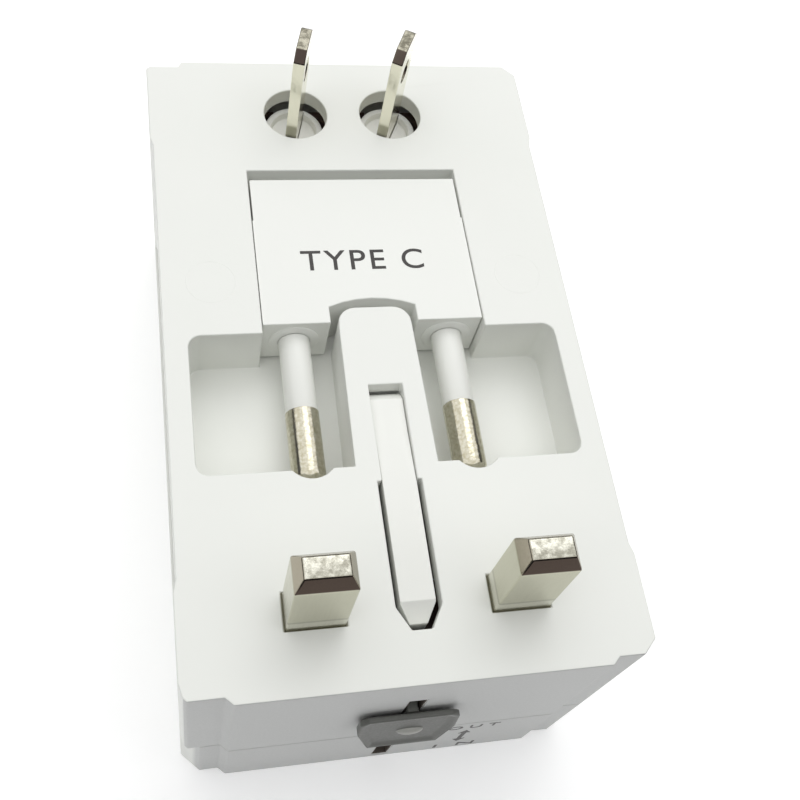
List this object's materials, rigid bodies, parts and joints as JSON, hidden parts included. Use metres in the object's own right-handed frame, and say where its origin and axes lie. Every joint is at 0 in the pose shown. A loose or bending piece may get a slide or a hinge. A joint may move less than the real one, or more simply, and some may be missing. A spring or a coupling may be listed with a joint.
{
  "type": "travel adapter",
  "caption": "Travel plug adapter block with sliding plug pins, turning flat blades, a fold-up round-pin block and a folding earth pin over a multi-standard socket.",
  "frame": {"origin": "centre of the bottom (the socket face), under the middle of the body", "axes": "+Z out of the plug face, +Y along the body from the rectangular-pin end to the flat-blade end, +X across it"},
  "size_m": [0.0506, 0.0894, 0.0511],
  "materials": {
    "shell_white_abs": "fine moulded texture, warm off-white",
    "block_white_abs": "fine moulded texture, warm off-white",
    "pin_white_nylon": "smooth satin white nylon",
    "knob_grey_abs": "satin mid grey",
    "inner_white_pbt": "plain moulded white",
    "inner_dark_pbt": "plain moulded dark brown",
    "nickel_plated_brass": "bright nickel with a warm tint",
    "brass_strip": "rolled brass strip",
    "spring_steel": "satin steel",
    "zinc_screw": "zinc plated",
    "wire_sleeve": "red insulation"
  },
  "bodies": {
    "case": {"upper_shell": "shell_white_abs", "lower_shell": "shell_white_abs", "case_screw_1": "zinc_screw", "case_screw_2": "zinc_screw", "case_screw_3": "zinc_screw", "case_screw_4": "zinc_screw", "contact_carrier": "inner_white_pbt", "bus_bar_left": "brass_strip", "bus_bar_right": "brass_strip", "socket_contact_left": "brass_strip", "socket_contact_right": "brass_strip", "eu_contact_left": "brass_strip", "eu_contact_right": "brass_strip", "eu_link_wire_left": "wire_sleeve", "eu_link_wire_right": "wire_sleeve", "uk_detent_spring": "spring_steel", "us_detent_spring": "spring_steel", "earth_hinge_pin": "spring_steel"},
    "uk_slider": {"uk_carriage": "inner_dark_pbt", "uk_knob": "knob_grey_abs", "uk_pin_left": "nickel_plated_brass", "uk_pin_right": "nickel_plated_brass", "uk_wiper_left": "brass_strip", "uk_wiper_right": "brass_strip"},
    "us_slider": {"us_carriage": "inner_dark_pbt", "us_turret_retainer": "inner_dark_pbt", "us_knob": "knob_grey_abs", "us_wiper_left": "brass_strip", "us_wiper_right": "brass_strip"},
    "left_turret": {"us_turret_left": "inner_white_pbt", "us_blade_left": "nickel_plated_brass"},
    "right_turret": {"us_turret_right": "inner_white_pbt", "us_blade_right": "nickel_plated_brass"},
    "eu_flap": {"eu_block": "block_white_abs", "eu_pin_left": "nickel_plated_brass", "eu_pin_right": "nickel_plated_brass", "eu_sleeve_left": "pin_white_nylon", "eu_sleeve_right": "pin_white_nylon", "eu_hinge_stub_left": "spring_steel", "eu_hinge_stub_right": "spring_steel"},
    "earth_flap": {"earth_pin": "pin_white_nylon"}
  },
  "joints": [
    {"name": "uk_slide", "type": "slide", "parent": "case", "child": "uk_slider", "axis": [0, 0, 1], "range_m": [-0.0155, 0.0013]},
    {"name": "us_slide", "type": "slide", "parent": "case", "child": "us_slider", "axis": [0, 0, 1], "range_m": [-0.0155, 0.0013]},
    {"name": "left_turret_turn", "type": "hinge", "parent": "us_slider", "child": "left_turret", "pos_m": [-0.00635, 0.03358, 0.03], "axis": [0, 0, 1], "range_deg": [-14, 46]},
    {"name": "right_turret_turn", "type": "hinge", "parent": "us_slider", "child": "right_turret", "pos_m": [0.00635, 0.03358, 0.03], "axis": [0, 0, 1], "range_deg": [-4, 56]},
    {"name": "eu_hinge", "type": "hinge", "parent": "case", "child": "eu_flap", "pos_m": [0, 0.0185, 0.0346], "axis": [-1, 0, 0], "range_deg": [0, 90]},
    {"name": "earth_hinge", "type": "hinge", "parent": "case", "child": "earth_flap", "pos_m": [0, -0.0113, 0.0338], "axis": [-1, 0, 0], "range_deg": [0, 90]}
  ]
}
